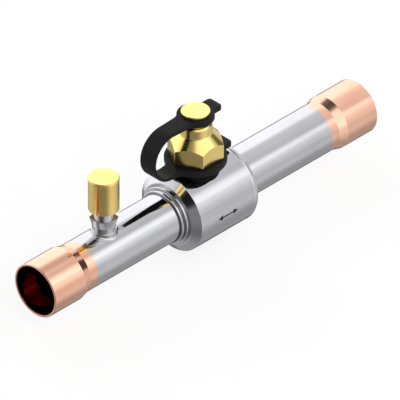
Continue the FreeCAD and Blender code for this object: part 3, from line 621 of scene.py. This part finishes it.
# Tether strap: one black moulding in soft plastic, with a ring under the cap and a ring on its waist.
# A flat band joins the rings in one hoop, and each ring has a tab to pull it by.
# The band thickens into the rings, and every edge has the small round of the mould.
strap_low, strap_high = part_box("cap_tether")
LOWER_RING_R = strap_high.y
LOWER_HOLE_R = 9.6 * MM
LOWER_RING_THICK = 2.5 * MM
UPPER_RING_R = 8.05 * MM
UPPER_HOLE_R = 5.6 * MM
UPPER_RING_THICK = 2.3 * MM
STRAP_THICK = 1.5 * MM
STRAP_HALF = 4.15 * MM
STRAP_FLARE = 4.0 * MM
TAB_HALF = 3.8 * MM
TAB_ROUND = 1.4 * MM
TAB_FLARE = 1.5 * MM
UPPER_TAB_REACH = UPPER_RING_R + 4.1 * MM
CORNER_POINTS = 6
RING_POINTS = 26
FLARE_POINTS = 9
PLATE_STEPS = (0.35, 0.7, 1.0)
BAND_STEPS = 8
BEND_STEPS = 28
LONG_BAND = 2 * MM
THIN_FROM = 0.85
EDGE_ROUND = 0.32 * MM
NEAR = 0.01 * MM
lower_tab_reach = strap_high.x - STEM_X
lower_level = strap_low.z + LOWER_RING_THICK / 2
upper_level = strap_high.z - UPPER_RING_THICK / 2
bend_mid_r = (upper_level - lower_level) / 2
bend_x = strap_low.x - STEM_X + bend_mid_r + STRAP_THICK / 2


def arc(centre_x, centre_y, radius, start, end, count):
    """Points on an arc, with both of its ends. Angles are in degrees."""
    turns = [math.radians(start + (end - start) * i / (count - 1)) for i in range(count)]
    return [(centre_x + radius * math.cos(turn), centre_y + radius * math.sin(turn)) for turn in turns]


def half_plate(ring_r, tab_reach):
    """Half the outline of a ring with its tab and its stretch of band, from the tab's tip to the bend."""
    tab_x = math.sqrt((ring_r + TAB_FLARE) ** 2 - (TAB_HALF + TAB_FLARE) ** 2)
    tab_turn = math.degrees(math.atan2(TAB_HALF + TAB_FLARE, tab_x))
    band_x = math.sqrt((ring_r + STRAP_FLARE) ** 2 - (STRAP_HALF + STRAP_FLARE) ** 2)
    band_turn = math.degrees(math.atan2(STRAP_HALF + STRAP_FLARE, band_x))
    points = [(tab_reach, 0), (tab_reach, (TAB_HALF - TAB_ROUND) / 2)]
    points += arc(tab_reach - TAB_ROUND, TAB_HALF - TAB_ROUND, TAB_ROUND, 0, 90, CORNER_POINTS)
    points += arc(tab_x, TAB_HALF + TAB_FLARE, TAB_FLARE, 270, 180 + tab_turn, CORNER_POINTS)
    points += arc(0, 0, ring_r, tab_turn, 180 - band_turn, RING_POINTS)[1:]
    points += arc(-band_x, STRAP_HALF + STRAP_FLARE, STRAP_FLARE, -band_turn, -90, FLARE_POINTS)[1:]
    if -band_x - bend_x > LONG_BAND:
        points.append(((bend_x - band_x) / 2, STRAP_HALF))
    points += [(bend_x, STRAP_HALF * (1 - 2 * i / BAND_STEPS)) for i in range(BAND_STEPS // 2 + 1)]
    return points


def plate(name, ring_r, hole_r, tab_reach, level):
    """A flat plate in the middle of the strap's thickness, drawn outwards from its hole to its outline."""
    half = half_plate(ring_r, tab_reach)
    rim = half + [(x, -y) for x, y in half[-2:0:-1]]
    reach = {math.atan2(y, x): math.hypot(x, y) for x, y in rim}
    hole = [(hole_r * math.cos(turn), hole_r * math.sin(turn), level) for turn in reach]
    piece = outline_piece(name, hole)
    for share in PLATE_STEPS:
        bpy.ops.object.mode_set(mode="EDIT")
        bpy.ops.mesh.extrude_edges_move()
        bpy.ops.object.mode_set(mode="OBJECT")
        for vertex in piece.data.vertices:
            if vertex.select:
                here = math.atan2(vertex.co.y, vertex.co.x)
                turn = min(reach, key=lambda known: abs(math.sin((known - here) / 2)))
                radius = hole_r + (reach[turn] - hole_r) * share
                vertex.co.x = radius * math.cos(turn)
                vertex.co.y = radius * math.sin(turn)
    return piece


lower_plate = plate("tether_strap", LOWER_RING_R, LOWER_HOLE_R, lower_tab_reach, lower_level)
bpy.ops.object.mode_set(mode="EDIT")
bpy.ops.mesh.select_all(action="DESELECT")
bpy.ops.object.mode_set(mode="OBJECT")
for vertex in lower_plate.data.vertices:
    vertex.select = vertex.co.x < bend_x + NEAR
bpy.ops.object.mode_set(mode="EDIT")
bpy.ops.mesh.spin(steps=BEND_STEPS, angle=-math.pi, center=(bend_x, 0, lower_level + bend_mid_r),
                  axis=(0, 1, 0))
bpy.ops.object.mode_set(mode="OBJECT")
plate("upper_plate", UPPER_RING_R, UPPER_HOLE_R, UPPER_TAB_REACH, upper_level)
lower_plate.select_set(True)
bpy.context.view_layer.objects.active = lower_plate
bpy.ops.object.join()
strap = bpy.context.object
bpy.ops.object.mode_set(mode="EDIT")
bpy.ops.mesh.select_all(action="SELECT")
bpy.ops.mesh.remove_doubles(threshold=NEAR)
bpy.ops.mesh.normals_make_consistent(inside=False)
bpy.ops.object.mode_set(mode="OBJECT")
apply_modifier(strap, "SOLIDIFY", thickness=STRAP_THICK, offset=0.0)
for ring_r, ring_thick, level in ((LOWER_RING_R, LOWER_RING_THICK, lower_level),
                                  (UPPER_RING_R, UPPER_RING_THICK, upper_level)):
    for vertex in strap.data.vertices:
        if abs(vertex.co.z - level) < STRAP_THICK and vertex.co.x > bend_x:
            thin_from = THIN_FROM * ring_r
            along_band = (-vertex.co.x - thin_from) / (-bend_x - thin_from)
            share = 1 - min(1.0, max(0.0, along_band))
            swell = 1 + (ring_thick / STRAP_THICK - 1) * share * share * (3 - 2 * share)
            vertex.co.z = level + (vertex.co.z - level) * swell
apply_modifier(strap, "BEVEL", width=EDGE_ROUND, segments=3, limit_method="ANGLE",
               angle_limit=math.radians(50))
strap.location = (STEM_X, 0, 0)
strap_plastic = matt("strap_plastic", colour=(0.012, 0.012, 0.0125), roughness=0.42, grain=1400.0,
                     depth=0.003 * MM, specular=0.08)
finish_piece(strap, strap_plastic, None)
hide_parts("cap_tether")
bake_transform(strap)


# Access port: turned steel, brazed into a hole in the pipe, with a flared body under a thread.
# Its thread takes the small cap here, and a service hose when the cap is off.
# The same lathe rings run round it, about its upright axis.
PORT_ROOT_R = 3.8 * MM
PORT_CREST_R = 4.2 * MM
PORT_THREAD_LENGTH = 11.0 * MM
PORT_PITCH = 1.0 * MM
PORT_RIDGE_TOP = 0.26 * MM
PORT_TOP = port_high.z
port_steel = metal("turned_steel_port", STEEL_BRIGHT, STEEL_DEEP, roughness=0.06, drift=0.03,
                   marks=TURNED_RINGS, depth=0.0012 * MM, centre=(PORT_X, 0, 0))
dress(port_steel, "access_port")
port_thread_z = PORT_TOP - PORT_THREAD_LENGTH + THREAD_END
port_turns = (PORT_THREAD_LENGTH - 2 * THREAD_END) / PORT_PITCH
port_thread = thread("port_thread", PORT_ROOT_R, PORT_CREST_R, PORT_RIDGE_TOP, PORT_PITCH,
                     PORT_X, port_thread_z, port_turns)
finish_piece(port_thread, port_steel, "valve_body")


# Core of the access port: a brass barrel screwed into the port, with a steel pin on a coil spring.
# The pin is pressed down to open the port, and a rubber washer at its foot closes it again.
# The spring is one fixed coil between the barrel and the pin, and a white plastic ring seals the barrel.
core_brass = metal("turned_brass_core", BRASS_BRIGHT, BRASS_DEEP, roughness=0.14, drift=0.06,
                   marks=TURNED_RINGS, depth=0.002 * MM, centre=(PORT_X, 0, 0))
pin_steel = metal("pin_steel", bright=(0.55, 0.55, 0.57), deep=(0.48, 0.48, 0.50), roughness=0.16,
                  drift=0.08, marks=TURNED_RINGS, depth=0.002 * MM, centre=(PORT_X, 0, 0))
dress(core_brass, "core_barrel")
dress(pin_steel, "core_pin")
dress(seat_plastic, "core_barrel_seal")
dress(rubber, "core_pin_seal")

WIRE_R = 0.16 * MM
WIRE_SIDES = 10
SPRING_TURNS = 6
SPRING_STEPS = 40 * SPRING_TURNS
spring_low, spring_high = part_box("core_spring")
spring_length = spring_high.z - spring_low.z
coil_r = (spring_high.x - spring_low.x) / 2 - WIRE_R
wire = [(coil_r + out, 0, up) for out, up in arc(0, 0, WIRE_R, 0, 360 - 360 / WIRE_SIDES, WIRE_SIDES)]
pin_spring = outline_piece("pin_spring", wire)
apply_modifier(pin_spring, "SCREW", axis="Z", angle=2 * math.pi * SPRING_TURNS,
               screw_offset=spring_length - 2 * WIRE_R, steps=SPRING_STEPS, render_steps=SPRING_STEPS,
               iterations=1)
bpy.ops.object.mode_set(mode="EDIT")
close_up()
bpy.ops.object.mode_set(mode="OBJECT")
pin_spring.location = (PORT_X, 0, spring_low.z + WIRE_R)
finish_piece(pin_spring, pin_steel, "valve_body", angle=60)
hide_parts("core_spring")
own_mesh(pin_spring)


# Access cap: a plain brass barrel, turned and bored, with one fine turned line near its top.
# It screws down over the port until the rubber disc in its roof closes on the port's rim.
# Its inside thread meshes with the port's.
ACCESS_BORE_R = 4.3 * MM
ACCESS_CREST_R = 3.85 * MM
ACCESS_THREAD_START = 1.0 * MM
ACCESS_THREAD_LENGTH = 8.0 * MM
access_brass = metal("turned_brass_access", BRASS_BRIGHT, BRASS_DEEP, roughness=0.17, drift=0.06,
                     marks=TURNED_RINGS, depth=0.002 * MM, centre=(PORT_X, 0, 0))
dress(access_brass, "access_cap")
dress(rubber, "access_cap_gasket")
access_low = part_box("access_cap")[0]
access_thread_z = meshing_start(access_low.z + ACCESS_THREAD_START, port_thread_z, PORT_PITCH)
access_turns = (access_low.z + ACCESS_THREAD_START + ACCESS_THREAD_LENGTH - access_thread_z) / PORT_PITCH
access_thread = thread("access_thread", ACCESS_BORE_R, ACCESS_CREST_R, PORT_RIDGE_TOP, PORT_PITCH, PORT_X,
                       access_thread_z, access_turns)
finish_piece(access_thread, access_brass, "access_cap")

LINE_FROM_TOP = 1.1 * MM
LINE_HALF = 0.18 * MM
LINE_RISE = 0.07 * MM
LINE_SINK = 0.10 * MM
access_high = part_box("access_cap")[1]
barrel_r = access_high.y
line_z = access_high.z - LINE_FROM_TOP
side_x = PORT_X + barrel_r
section = [(side_x - LINE_SINK, 0, line_z - LINE_HALF), (side_x, 0, line_z - LINE_HALF),
           (side_x + LINE_RISE, 0, line_z), (side_x, 0, line_z + LINE_HALF),
           (side_x - LINE_SINK, 0, line_z + LINE_HALF)]
barrel_line = spun("barrel_line", section, (PORT_X, 0, 0), UP)
finish_piece(barrel_line, access_brass, "access_cap", angle=20)


# Floor: a plain pale sheet a little under the valve, seen by the camera as white, with a soft shadow.
# The metal doesn't mirror it, because the surround shows it a grey floor instead.
FLOOR_SIZE = 24.0
FLOOR_DROP = 4 * MM
FLOOR_GLOW = 0.84


def joined(tree, operation, first, second):
    """A math node with both of its inputs linked, or the second one set to a number."""
    node = tree.nodes.new("ShaderNodeMath")
    node.operation = operation
    tree.links.new(first, node.inputs[0])
    if isinstance(second, (int, float)):
        node.inputs[1].default_value = second
    else:
        tree.links.new(second, node.inputs[1])
    return node.outputs[0]


deselect_all()
bpy.ops.mesh.primitive_plane_add(size=FLOOR_SIZE, location=(STEM_X, 0, cad_low.z - FLOOR_DROP))
floor = bpy.context.object
floor.name = "floor"
floor.visible_glossy = False
pale = bpy.data.materials.new("pale_floor")
pale.use_nodes = True
tree = pale.node_tree
paint = tree.nodes["Principled BSDF"]
paint.inputs["Base Color"].default_value = (0.94, 0.94, 0.94, 1)
paint.inputs["Roughness"].default_value = 0.9
glow = tree.nodes.new("ShaderNodeEmission")
path = tree.nodes.new("ShaderNodeLightPath")
blend = tree.nodes.new("ShaderNodeMixShader")
tree.links.new(joined(tree, "MULTIPLY", path.outputs["Is Camera Ray"], FLOOR_GLOW), blend.inputs[0])
tree.links.new(paint.outputs[0], blend.inputs[1])
tree.links.new(glow.outputs[0], blend.inputs[2])
tree.links.new(blend.outputs[0], tree.nodes["Material Output"].inputs["Surface"])
floor.data.materials.append(pale)


# Surround: a large round tent of grey cloth, seen by mirrored rays only, so it is what the metal mirrors.
# Soft boxes light it and black flags shade it. Each row has an aim from the valve, the two angles
# from that aim at which the box or flag is full and gone, and how bright or how dark it is.
SURROUND_R = 1.5
GROUND_LIGHT = 0.41
WALL_LIGHT = 0.70
WALL_FOOT = -0.82
WALL_TOP = -0.30
SOFT_BOXES = [
    ((0.20, 1.00, 0.40), 28, 56, 0.80),  # large, behind the valve
    ((0.05, -0.80, 0.55), 25, 45, 0.60),  # over the front
    ((0.50, -0.85, 0.15), 10, 36, 0.15),  # weak, in front
    ((0.25, -0.80, -0.50), 10, 34, 0.18),  # weak, low in front
    ((0.75, 0.10, 0.65), 10, 35, 0.32),  # over the outlet end
    ((-0.65, 0.45, 0.62), 10, 32, 0.38),  # over the port side, behind
    ((0.58, -0.61, 0.54), 3, 13, 0.32),  # small, a bright line along the pipes
]
FLAGS = [
    ((-0.85, -0.50, -0.12), 22, 76, 0.58),  # wide, on the port side
    ((-0.95, -0.16, 0.26), 7, 20, 0.90),  # off the port-side end
    ((-0.75, -0.15, 0.62), 12, 32, 0.60),  # over the port side
    ((0.10, 0.28, 0.95), 14, 38, 0.85),  # overhead
    ((0.93, -0.26, 0.22), 8, 17, 0.90),  # off the outlet end
    ((-1.00, 0.14, -0.04), 8, 18, 0.90),  # level with the port-side end
    ((0.58, -0.13, 0.80), 5, 19, 0.17),  # faint, above the bright line
    ((0.58, -0.79, -0.20), 4, 14, 0.14),  # faint, below the bright line
    ((0.58, 0.58, -0.58), 16, 30, 0.60),  # low behind, darkens the outlines
]
deselect_all()
bpy.ops.mesh.primitive_uv_sphere_add(segments=64, ring_count=32, radius=SURROUND_R)
surround = bpy.context.object
surround.name = "surround"
surround.visible_camera = False
surround.visible_diffuse = False
surround.visible_transmission = False
surround.visible_shadow = False
tent = bpy.data.materials.new("grey_tent")
tent.use_nodes = True
tree = tent.node_tree
tree.nodes.remove(tree.nodes["Principled BSDF"])
coordinates = tree.nodes.new("ShaderNodeTexCoord")
outwards = tree.nodes.new("ShaderNodeVectorMath")
outwards.operation = "NORMALIZE"
tree.links.new(coordinates.outputs["Object"], outwards.inputs[0])


def soft_patch(tree, outwards, aim, inner, outer, strength):
    """The light of a round soft box, or the depth of a flag: full inside, none past its outer edge."""
    toward = tree.nodes.new("ShaderNodeVectorMath")
    toward.operation = "DOT_PRODUCT"
    toward.inputs[1].default_value = Vector(aim).normalized()
    tree.links.new(outwards.outputs["Vector"], toward.inputs[0])
    edge = tree.nodes.new("ShaderNodeMapRange")
    edge.interpolation_type = "SMOOTHSTEP"
    edge.inputs["From Min"].default_value = math.cos(math.radians(outer))
    edge.inputs["From Max"].default_value = math.cos(math.radians(inner))
    edge.inputs["To Max"].default_value = strength
    tree.links.new(toward.outputs["Value"], edge.inputs["Value"])
    return edge.outputs["Result"]


height = tree.nodes.new("ShaderNodeSeparateXYZ")
tree.links.new(outwards.outputs["Vector"], height.inputs[0])
wall = tree.nodes.new("ShaderNodeMapRange")
wall.interpolation_type = "SMOOTHSTEP"
wall.inputs["From Min"].default_value = WALL_FOOT
wall.inputs["From Max"].default_value = WALL_TOP
wall.inputs["To Min"].default_value = GROUND_LIGHT
wall.inputs["To Max"].default_value = WALL_LIGHT
tree.links.new(height.outputs["Z"], wall.inputs["Value"])
light = wall.outputs["Result"]
for box in SOFT_BOXES:
    light = joined(tree, "ADD", light, soft_patch(tree, outwards, *box))
for flag in FLAGS:
    shade = joined(tree, "MULTIPLY", light, soft_patch(tree, outwards, *flag))
    light = joined(tree, "SUBTRACT", light, shade)
glow = tree.nodes.new("ShaderNodeEmission")
tree.links.new(light, glow.inputs["Strength"])
tree.links.new(glow.outputs[0], tree.nodes["Material Output"].inputs["Surface"])
surround.data.materials.append(tent)


# Lamps and sky: large soft lamps and a plain sky that light the plastic and the floor.
# The metal doesn't mirror the lamps, because the surround already shows it the soft boxes.
# The camera sees the sky as white, brighter than the light that it gives the valve.
def soft_lamp(name, place, size, power):
    """A large square lamp that looks at the valve."""
    deselect_all()
    bpy.ops.object.light_add(type="AREA", location=place)
    lamp = bpy.context.object
    lamp.name = name
    lamp.data.shape = "SQUARE"
    lamp.data.size = size
    lamp.data.energy = power
    aim = Vector((STEM_X, 0, 0)) - Vector(place)
    lamp.rotation_mode = "QUATERNION"
    lamp.rotation_quaternion = aim.to_track_quat("-Z", "Y")
    lamp.visible_glossy = False


soft_lamp("lamp_front", place=(-0.6, -1.2, 1.3), size=1.0, power=16.0)
soft_lamp("lamp_side", place=(1.4, -0.8, 1.0), size=1.0, power=9.0)
soft_lamp("lamp_back", place=(0.4, 1.4, 1.2), size=1.2, power=12.0)

SKY_LIGHT = 0.45
sky = bpy.data.worlds.new("pale_studio")
sky.use_nodes = True
bpy.context.scene.world = sky
tree = sky.node_tree
path = tree.nodes.new("ShaderNodeLightPath")
mirrored = joined(tree, "MAXIMUM", path.outputs["Is Camera Ray"], path.outputs["Is Glossy Ray"])
seen = joined(tree, "MAXIMUM", mirrored, path.outputs["Is Transmission Ray"])
level = tree.nodes.new("ShaderNodeMapRange")
level.inputs["To Min"].default_value = SKY_LIGHT
tree.links.new(seen, level.inputs["Value"])
background = tree.nodes["Background"]
background.inputs["Color"].default_value = (1, 1, 1, 1)
tree.links.new(level.outputs["Result"], background.inputs["Strength"])


# Camera: it looks down on the valve as an isometric drawing does, at the same angle to all three axes.
# It stands far off with a long lens, so that parallel edges stay almost parallel.
VIEW_WIDTH = 0.1672
CAMERA_AWAY = 7.0
SENSOR = 36.0
LOOK_RIGHT = 1.84 * MM
LOOK_DOWN = 0.65 * MM
right = Vector((1, -1, 0)).normalized()
toward_camera = Vector((-1, -1, 1)).normalized()
above = toward_camera.cross(right)
look_at = Vector((STEM_X, 0, 0)) + right * LOOK_RIGHT - above * LOOK_DOWN
camera_data = bpy.data.cameras.new("camera")
camera_data.sensor_width = SENSOR
camera_data.lens = SENSOR * CAMERA_AWAY / VIEW_WIDTH
camera_data.clip_end = 3 * CAMERA_AWAY
camera = bpy.data.objects.new("camera", camera_data)
bpy.context.scene.collection.objects.link(camera)
camera.location = look_at + toward_camera * CAMERA_AWAY
camera.rotation_mode = "QUATERNION"
camera.rotation_quaternion = (-toward_camera).to_track_quat("-Z", "Y")
bpy.context.scene.camera = camera
bpy.context.scene.view_settings.view_transform = "Standard"
